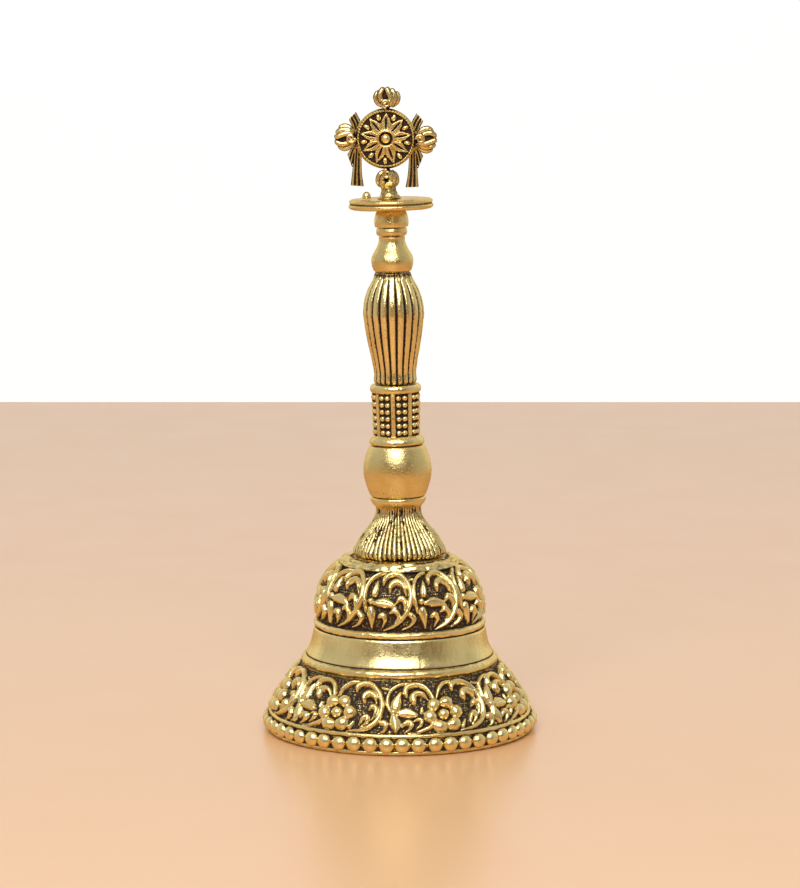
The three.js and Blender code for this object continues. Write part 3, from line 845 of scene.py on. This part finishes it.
def fluted_grip():
    """The swelling grip: broad round ribs with narrow dark grooves, worn smooth towards the top."""
    low, high = span("fluted_grip")
    tall = high - low
    shares = [(0, 5.5), (0.03, 5.95), (0.1, 5.85), (0.22, 6.4), (0.4, 7.5), (0.55, 8.15), (0.64, 8.4),
              (0.75, 8.05), (0.85, 7.05), (0.93, 5.75), (0.975, 5.05), (1, 4.8)]
    outline = evenly(spline([(radius, low + tall * share) for share, radius in shares], 160), 0.2)
    columns = GRIP_RIBS * 18
    angle = around(columns) - GRIP_TURN
    up = (outline[:, 1:] - low) / tall
    shape = (len(outline), columns)
    sway = 0.012 * smooth_noise(shape, 60, 64)
    across = np.abs(np.sin((angle + sway) * GRIP_RIBS / 2))
    rib = unit(across / 0.62) ** 0.7 * 0.8 + 0.2 * across
    worn = unit((0.97 - up) / 0.18) ** 0.7
    depth = (0.2 + 0.8 * worn) * np.clip(outline[:, :1] / 8, 0.6, 1) * unit(up / 0.015)
    rough = ripple(shape, (0.04, 6, 61), (0.03, 2.5, 62))
    rough = rough + 0.22 * smooth_noise(shape, 3, 63) * unit((up - 0.94) / 0.03)
    lift = depth * (rib - 1) + rough
    ends = -6 * unit(1 - up / 0.03) - 5 * unit((up - 0.955) / 0.03)
    rubbed = np.clip(16 * (rib - 0.8) * (0.3 + 0.7 * worn) + ends + 1.5 * (1 - worn), -7, 3)
    bored_piece("fluted_grip", "aged_brass", outline, lift, 0.5, rubbed)


def pear_bulb():
    """The pear-shaped bulb and its narrow neck."""
    low, high = span("pear_bulb")
    side = raised(low, [(4.7, 0), (5.2, 0.5), (5.7, 2), (5.75, 3.4), (5.3, 4.8), (4.4, 6.3), (3.75, 7.8),
                        (3.6, 9)])
    outline = evenly(spline([*side, (3.7, high)], 60), 0.2)
    lift = ripple((len(outline), 160), (0.06, 16, 71), (0.03, 5, 72))
    bored_piece("pear_bulb", "plain_brass", outline, lift, 0.9)


def neck_ring():
    """The narrow ring over the bulb's neck."""
    low, high = span("neck_ring")
    outline = evenly(spline([(3.7, low), (4.1, low + 0.4), (4.3, (low + high) / 2), (4.2, high - 0.4),
                             (4.1, high)], 30), 0.12)
    bored_piece("neck_ring", "plain_brass", outline, ripple((len(outline), 140), (0.04, 8, 81)), 0.5)


def top_knob():
    """The small knob under the plate, with a casting seam and flaw on its front."""
    low, high = span("top_knob")
    side = raised(low, [(4.3, 0), (4.55, 0.2), (4.7, 1.2), (4.6, 2.5), (4.25, 3.8)])
    side = evenly(spline([*side, (3.6, high)], 50), 0.16)
    columns = 180
    turn = (around(columns) + math.pi) % TURN - math.pi
    z = side[:, 1:] - low
    lift = 0.05 * smooth_noise((len(side), columns), 12, 91)
    lift = lift - 0.28 * np.exp(-((turn + 0.05) / 0.06) ** 2) * np.exp(-((z - 2.4) / 0.9) ** 2)
    lift = lift + 0.18 * np.exp(-((turn - 0.1) / 0.07) ** 2) * np.exp(-((z - 1.8) / 1.2) ** 2)
    roof = [(2.0, high), (1.8, high), (1.8, high - 2), (0.9, high - 2), (0.0001, high - 2)]
    socket = [(0.0001, low + 1.7), (2.3, low + 1.7), (2.3, low), (3.0, low)]
    outline = np.vstack([socket, side, roof])
    outline[0, 0] = outline[-1, 0] = 0
    lift = np.pad(lift, ((len(socket), len(roof)), (0, 0)))
    knob = grid_object("top_knob_turned", revolve(outline, columns, lift))
    finish_piece(knob, "top_knob", "plain_brass", space=HANDLE, reach=0.6)


def finial_plate():
    """The round plate: a lower lip, a groove and a bevelled upper lip."""
    low, high = span("finial_plate")
    side = raised(low, [(4.5, 0), (9.8, 0), (11.0, 0.15), (11.55, 0.6), (11.6, 1.1), (11.2, 1.45),
                        (11.1, 1.6), (11.45, 1.9), (11.4, 2.4)])
    outline = evenly(spline([*side, (11.0, high - 0.15), (10.4, high), (6, high)], 160), 0.22)
    lift = ripple((len(outline), 260), (0.05, 20, 101), (0.03, 6, 102))
    groove = (outline[:, :1] > 10.9) & (np.abs(outline[:, 1:] - low - 1.55) < 0.22)
    bored_piece("finial_plate", "plain_brass", outline, lift, 0.5, np.where(groove, -4.0, 0.3), bore=1.8)


def plate_stud():
    """The small round stud on the plate."""
    low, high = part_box("plate_stud")
    centre = np.array((low + high) / 2 / MM)
    outline = spline([(0, -1.05), (1.1, -1), (1.2, -0.5), (1.05, 0.15), (0.55, 0.75), (0, 0.9)], 30)
    outline[0, 0] = outline[-1, 0] = 0
    stud = grid_object("plate_stud_cast", revolve(outline, 32) + centre)
    finish_piece(stud, "plate_stud", "plain_brass", reach=0.4)


# ---- the finial

def wheel_relief(x, y):
    """How far the wheel's face stands out at points of its plane."""
    radius, angle = np.hypot(x, y), np.arctan2(x, y)
    hub = np.maximum(1.45 * half_round(radius / 1.4), 1.25 * half_round((radius - 2.2) / 0.45))
    # a star of broad petals, each with a slit down its root
    sector = TURN / PETALS
    local = (angle + sector / 2) % sector - sector / 2
    along, across = radius * np.cos(local), np.abs(radius * np.sin(local))
    share = unit((along - 2.6) / 4.5)
    edge = np.where(along < 4.2, 3, 1.6 * unit((7.15 - along) / 2.95) ** 0.62)
    star = unit((edge - across) / 0.45) ** 0.6 * (radius > 2.5) * (along < 7.15)
    gap = 0.27 * np.sin(np.pi * unit((along - 2.5) / 3.5)) ** 0.6
    slit = unit((gap - across) / 0.16 + 0.5)
    seam = np.exp(-((np.abs(local) - sector / 2) * radius / 0.16) ** 2) * (along < 4.6)
    petal = (1.0 - 0.25 * share) * star * (1 - 0.95 * slit) * (1 - 0.45 * seam)
    # a bud between each two tips, and the beaded rim
    between = angle % sector - sector / 2
    far, off = radius * np.cos(between), radius * np.sin(between)
    bud = 0.85 * half_round(np.hypot((far - 6.05) / 1.05, off / 0.7))
    rim = 0.95 * half_round((radius - 7.55) / 0.42) * (0.72 + 0.28 * np.cos(angle * RIM_BEADS))
    return np.maximum.reduce([hub, petal, bud, rim])


def chakra_disc():
    """The wheel disc, the same on both faces, with a plain rim behind its beads."""
    columns = 480
    ground = 0.3
    radius = np.concatenate([np.linspace(0, 1.2, 8)[:-1], np.arange(1.2, 7.95, 0.1)])
    front = np.stack([radius, np.full(len(radius), ground)], axis=1)
    edge = arc((7.75, 0), 0.5, 62, -62, 9)
    outline = np.vstack([front, edge, front[::-1] * np.array([1, -1])])
    reach, depth = outline[:, :1], outline[:, 1:]
    angle = around(columns)
    x, z = reach * np.sin(angle), reach * np.cos(angle)
    face = np.abs(np.abs(depth) - ground) < 1e-6
    lift = wheel_relief(x, z) * face
    points = np.stack([x, -(depth + np.sign(depth) * lift), z], axis=-1)
    rubbed = np.where(face, np.clip((lift - 0.42) * 16, -8, 4), 1)
    disc = grid_object("chakra_disc_cast", points, rubbed)
    finish_piece(disc, "chakra_disc", "aged_brass", space=WHEEL, reach=0.4)


FLAME_TONGUES = [
    ([(-1.1, 0.7), (-2.4, 1.6), (-3, 2.9), (-2.75, 4), (-2.1, 4.8)], 0.72, 0.4),
    ([(-0.7, 1.2), (-1.5, 2.5), (-1.8, 3.9), (-1.35, 5), (-0.8, 5.6)], 0.8, 1.0),
    ([(0.9, 0.9), (1.2, 2.3), (0.75, 3.9), (0.2, 5.1), (0.35, 5.8)], 0.82, 1.25),
    ([(1.3, 0.8), (2.1, 2.2), (2.1, 3.7), (1.6, 4.9), (1.45, 5.5)], 0.76, 0.85),
    ([(1.5, 0.7), (2.75, 1.8), (3.15, 3), (2.95, 4), (2.6, 4.7)], 0.7, 0.35),
]


def flame_lines():
    """The tongues' and curls' centre lines and radii on both faces, for a flame along +Z from the origin."""
    lines = []
    share = np.linspace(0, 1, 26)
    turns = np.linspace(0, 1, 44)
    reach = 1.12 * (1 - turns) ** 0.75 + 0.1
    for face in (-1, 1):
        for points, width, forward in FLAME_TONGUES:
            line = spline([(x, face * forward, z) for x, z in points], 26)
            line[:, 1] *= 1 - 0.35 * share ** 2
            lines.append((line, width * np.interp(share, [0, 0.2, 0.6, 0.85, 1], [0.75, 1, 1, 0.85, 0.5])))
        spin = face * turns * 3 * math.pi
        curl = [-0.1 + reach * np.sin(spin), np.full(44, face * 1.75), 1.35 - reach * np.cos(spin)]
        lines.append((np.stack(curl, axis=1), np.linspace(0.45, 0.33, 44)))
    return lines


def flame_parts():
    """A flame's core, and its tongues and curl on both faces."""
    core = ball_grid(1, 16, 24) * np.array([2.65, 0.95, 2.65]) + np.array([0.1, 0, 3])
    return [grid_part(core)] + [tube(line, radii) for line, radii in flame_lines()]


def flame_rub(points):
    """Bright tops and dark grooves: how far points stand out past the nearest tongue's middle."""
    best = np.full(len(points), 1e9)
    rub = np.zeros(len(points))
    for line, radii in flame_lines():
        for centre, radius in zip(line, radii):
            far = np.abs(np.linalg.norm(points - centre, axis=1) - radius)
            closer = far < best
            best[closer] = far[closer]
            rub[closer] = ((np.abs(points[:, 1]) - abs(centre[1])) / radius)[closer]
    return np.clip((rub - 0.75) * 8 - 12 * unit(best - 0.12), -6, 3)


def vertex_points(obj):
    """An object's vertices in millimetres."""
    return mesh_values(obj.data.vertices, "co") / MM


def flame(side, turns):
    """One flame of the wheel, standing on the rim and pointing outwards."""
    space = WHEEL @ Matrix.Rotation(turns * TURN / 4, 4, "Y") @ Matrix.Translation((0, 0, WHEEL_RADIUS * MM))
    node = "flame_" + side
    obj = merged_object(node + "_cast", flame_parts(), 0.12)
    set_rub(obj, flame_rub(vertex_points(obj)))
    finish_piece(obj, node, "aged_brass", space=space, reach=0.35)


BUD_SIZE = np.array([0.87, 1, -1])


def finial_post():
    """The post on the plate, with the lower flame below the wheel and the tenon under the plate."""
    bud_top = WHEEL_HEIGHT - WHEEL_RADIUS - 0.1
    parts = []
    for vertices, faces in flame_parts():
        turned = vertices * BUD_SIZE + np.array([0, 0, bud_top])
        parts.append((turned, [face[::-1] for face in faces]))
    trunk = spline([(0, 0.1), (3.3, 0.15), (2.7, 0.7), (2.15, 1.7), (2.05, 3), (2.4, 4.6), (0, 5.6)], 60)
    trunk = evenly(trunk, 0.25)
    trunk[0, 0] = trunk[-1, 0] = 0
    lift = ripple((len(trunk), 48), (0.22, 5, 111), (0.1, 2.5, 112))
    lift[0] = lift[-1] = 0
    parts.append(grid_part(revolve(trunk, 48, lift) + np.array([0.35, 0, 0])))
    tenon = [(0, -2.2), (1.4, -2.2), (1.4, -1), (1.4, 0.8), (0, 0.8)]
    parts.append(grid_part(revolve(tenon, 32) + np.array([-POST_OFFSET, 0, 0])))
    post = merged_object("finial_post_cast", parts, 0.12)
    points = vertex_points(post)
    bud = points[:, 2] > 4.2
    set_rub(post, np.where(bud, flame_rub((points - [0, 0, bud_top]) / BUD_SIZE), -0.7))
    finish_piece(post, "finial_post", "aged_brass", space=FINIAL, reach=0.35)


def pleated(left, right, pleats, ridge, rows=40, thick=0.4):
    """A pleated strip between two edge lines given as (across, up) points, cut square at its end."""
    a, b = spline(left, rows)[:, None, :], spline(right, rows)[:, None, :]
    steps = pleats * 12 + 1
    share = np.linspace(0, 1, steps)
    x, z = np.moveaxis(a + (b - a) * share[:, None], -1, 0)
    deep = thick / 2 + ridge * np.abs(np.sin(np.pi * pleats * share)) ** 1.3 + 0 * x
    front = np.stack([x, -deep, z], axis=-1)
    back = np.stack([x, deep, z], axis=-1)[:, ::-1]
    loop = np.concatenate([front, back], axis=1)
    count = 2 * steps
    faces = grid_faces(rows, count)
    for first, order in ((0, -1), ((rows - 1) * count, 1)):
        for k in range(steps - 1):
            quad = [first + k, first + k + 1, first + count - 2 - k, first + count - 1 - k]
            faces.append(quad[::order])
    return loop.reshape(-1, 3), faces


def ribbon(node, side):
    """A pleated ribbon: a short end above the flame, a long tail and a short fan below it."""
    forward = 1.9
    tail = pleated([(6.5, -2.5), (6.45, -6), (6.25, -9.8), (5.7, -13.3)],
                   [(8.5, -2.5), (8.7, -6), (9, -9.8), (9.3, -13.1)], 3, 0.75)
    fan = pleated([(7.9, -2), (8.6, -4.6), (9.1, -8)], [(8.6, -2), (9.6, -3.4), (10.4, -4.7)], 2, 0.7, 28)
    stub = pleated([(6.3, 1.8), (7, 4.6), (8.3, 7)], [(8.7, 0.9), (9.3, 3), (10.2, 4.9)], 3, 0.7, 28)
    knot = tube(spline([(7.5, 0, -2.8), (7.9, 0, 0), (7.5, 0, 2.4)], 16), np.full(16, 0.8))
    parts = []
    for vertices, faces in (tail, fan, stub, knot):
        moved = vertices * np.array([side, 1, 1]) + np.array([0, forward, 0])
        parts.append((moved, [face[::side] for face in faces]))
    obj = merged_object(node + "_pleated", parts, 0.11)
    set_rub(obj, np.clip((np.abs(vertex_points(obj)[:, 1] - forward) - 0.68) * 16, -6, 3))
    finish_piece(obj, node, "aged_brass", space=WHEEL, reach=0.35)


# ---- under the crown

def inner_hardware():
    """The rod and its washer: the CAD solids, with the steel's surface."""
    for node in ("tie_rod", "inner_washer"):
        mesh = frame["nodes"][node].data
        mesh.materials.clear()
        mesh.materials.append(MATERIALS["steel"])


def crown_nut():
    """The hexagonal cap nut, with its corners rounded off by a turned chamfer."""
    low, high = (corner.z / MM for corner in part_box("crown_nut"))
    columns = 120
    angle = around(columns)
    sixth = TURN / 6
    flat = 4.33 / np.cos((angle + sixth / 2) % sixth - sixth / 2)
    outside = evenly([(1.4, low), (3.4, low), (4.1, low + 0.1), (4.4, low + 0.45), (5, low + 0.9),
                      (5, low + 1.8), (5, high - 1.8), (5, high - 0.9), (4.4, high - 0.45), (4.1, high - 0.1),
                      (3.4, high)], 0.2)
    inside = evenly([(3.4, high), (2.35, high), (2.35, low + 1.05), (1.4, low + 1.05)], 0.4)
    outline = np.vstack([outside, inside[1:-1]])
    radius = np.minimum(outline[:, :1], np.where(outline[:, :1] > 2.4, flat, 99))
    points = np.stack([radius * np.sin(angle), -radius * np.cos(angle), outline[:, 1:] + 0 * radius], axis=-1)
    finish_piece(grid_object("crown_nut_turned", points), "crown_nut", "plain_brass", reach=0.5)


def ring_part(centre, radius, wire, plane):
    """Vertices and faces of a wire ring in the XZ or the YZ plane."""
    steps, sides = 48, 16
    turn = around(steps)[:, None]
    section = around(sides)
    reach = radius + wire * np.cos(section)
    across, up = reach * np.cos(turn), reach * np.sin(turn)
    thick = wire * np.sin(section) + 0 * across
    order = (across, thick, up) if plane == "XZ" else (-thick, across, up)
    points = np.stack(order, axis=-1) + np.array([0, 0, centre])
    faces = [[a, d, c, b] for a, b, c, d in grid_faces(steps, sides, closed=True)]
    return points.reshape(-1, 3), faces


def clapper():
    """The swivel's eye, the clapper's shank with its loop, and the striking ball."""
    joints = {joint["name"]: joint["pos_m"][2] / MM for joint in frame["joints"]}
    eye, pivot = joints["clapper_turn"], joints["clapper_swing"]
    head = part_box("clapper_swivel")[1].z / MM
    stem = tube([(0, 0, eye + 1.6), (0, 0, head - 0.75), (0, 0, head - 0.7), (0, 0, head - 0.65)],
                [0.95, 0.95, 1.4, 1.8], 24)
    cap = tube([(0, 0, head - 0.6), (0, 0, head - 0.35), (0, 0, head - 0.15)], [1.8, 1.8, 1.2], 24)
    swivel = merged_object("clapper_swivel_forged", [stem, cap, ring_part(eye, 1.9, 0.75, "XZ")], 0.13)
    finish_piece(swivel, "clapper_swivel", "steel", body="swivel", reach=0.5)
    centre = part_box("clapper_ball")[0].z / MM + BALL_RADIUS
    shank = spline([(0, 0, pivot - 1.9), (0, 0, pivot - 5), (0, 0, centre + 9), (0, 0, centre + 0.6)], 30)
    shank = tube(shank, np.linspace(0.8, 1.2, 30), 24)
    rod = merged_object("clapper_rod_forged", [shank, ring_part(pivot, 1.8, 0.65, "YZ")], 0.13)
    finish_piece(rod, "clapper_rod", "steel", body="clapper", reach=0.5)
    neck = spline([(2.5, centre + 6.1), (2.1, centre + 6.9), (1.9, centre + 7.35), (1.5, centre + 7.4)], 8)
    bore = [(1.5, centre + 6), (1.5, centre + 2), (1.5, centre - 0.3), (0, centre - 0.3)]
    outline = np.vstack([arc((0, centre), BALL_RADIUS, -90, 66, 60), neck, bore])
    outline[0, 0] = 0
    lift = 0.05 * smooth_noise((len(outline), 160), 12, 121)
    lift[0] = 0
    lift[-len(bore):] = 0
    ball = grid_object("clapper_ball_turned", revolve(outline, 160, lift))
    finish_piece(ball, "clapper_ball", "plain_brass", body="clapper", reach=0.8)


# ---- the set

CAMERA_DISTANCE = 0.918
CAMERA_HEIGHT = 0.2054
CAMERA_PITCH = math.radians(7.8)
FOCAL_PIXELS = 3356.0
IMAGE_HEIGHT = 888.0
TABLE_EDGE = 0.735


def table_material():
    """Smooth, pale peach laminate with a soft shine."""
    n = new_material("table_top")
    n.set("Base Color", (0.77, 0.455, 0.24))
    n.set("Specular IOR Level", 0.45)
    n.set("Roughness", n.plus(n.times(n.noise(30, 3), 0.08), 0.26))
    return n.owner


def wall_material():
    """A white wall that glows a little, as if lit from outside the picture."""
    n = new_material("white_wall")
    n.set("Base Color", (0.9, 0.9, 0.9))
    n.set("Emission Color", (1.0, 1.0, 1.0))
    n.set("Emission Strength", 0.66)
    return n.owner


def plane(name, corners, material):
    """A flat backdrop with the given corners."""
    mesh = bpy.data.meshes.new(name)
    mesh.from_pydata(corners, [], [[0, 1, 2, 3]])
    obj = bpy.data.objects.new(name, mesh)
    bpy.context.scene.collection.objects.link(obj)
    mesh.materials.append(material)


def softbox():
    """The lamp: a large softbox in front of the bell and above it, turned towards it."""
    data = bpy.data.lights.new("overhead_softbox", "AREA")
    data.shape = "RECTANGLE"
    data.size, data.size_y = 1.06, 0.94
    data.energy = 15.5
    light = bpy.data.objects.new("overhead_softbox", data)
    light.location = (-0.12, -1.0, 0.99)
    light.rotation_euler = (Vector((0, 0, 0.08)) - light.location).to_track_quat("-Z", "Y").to_euler()
    bpy.context.scene.collection.objects.link(light)


def studio_walls(world):
    """Pale walls all round, dimmer towards the dark side that the picture is taken from."""
    n = Nodes(world, "Background")
    aim = n.add("ShaderNodeVectorMath", operation="DOT_PRODUCT")
    aim.inputs[1].default_value = (0.1, -0.98, 0.1)
    n.fill(aim.inputs[0], n.coords["Generated"])
    stops = [(0.0, (0.6, 0.6, 0.58)), (0.5, (0.5, 0.48, 0.43)), (0.8, (0.22, 0.2, 0.17)),
             (0.95, (0.06, 0.055, 0.045))]
    n.set("Color", n.ramp(aim.outputs["Value"], stops))


def studio():
    """The table, the white wall behind it, soft lights and the camera."""
    plane("table", [(-2, -2, 0), (2, -2, 0), (2, TABLE_EDGE, 0), (-2, TABLE_EDGE, 0)], table_material())
    plane("wall", [(-4, 2.5, -1.5), (4, 2.5, -1.5), (4, 2.5, 3), (-4, 2.5, 3)], wall_material())
    softbox()
    world = bpy.data.worlds.new("studio")
    bpy.context.scene.world = world
    studio_walls(world)
    bpy.context.scene.view_settings.view_transform = "Standard"
    data = bpy.data.cameras.new("camera")
    data.sensor_width = 36
    data.lens = FOCAL_PIXELS / IMAGE_HEIGHT * 36
    data.clip_start = 0.01
    camera = bpy.data.objects.new("camera", data)
    camera.location = (0.0001, -CAMERA_DISTANCE, CAMERA_HEIGHT)
    camera.rotation_euler = (math.pi / 2 - CAMERA_PITCH, 0, 0)
    bpy.context.scene.collection.objects.link(camera)
    bpy.context.scene.camera = camera


# ---- assembly

studio()
bell_cup()
lip_beads()
crown_washer()
handle_foot()
handle_ball()
studded_collar()
fluted_grip()
pear_bulb()
neck_ring()
top_knob()
finial_plate()
plate_stud()
chakra_disc()
finial_post()
flame("top", 0)
flame("left", -1)
flame("right", 1)
ribbon("ribbon_left", -1)
ribbon("ribbon_right", 1)
inner_hardware()
crown_nut()
clapper()
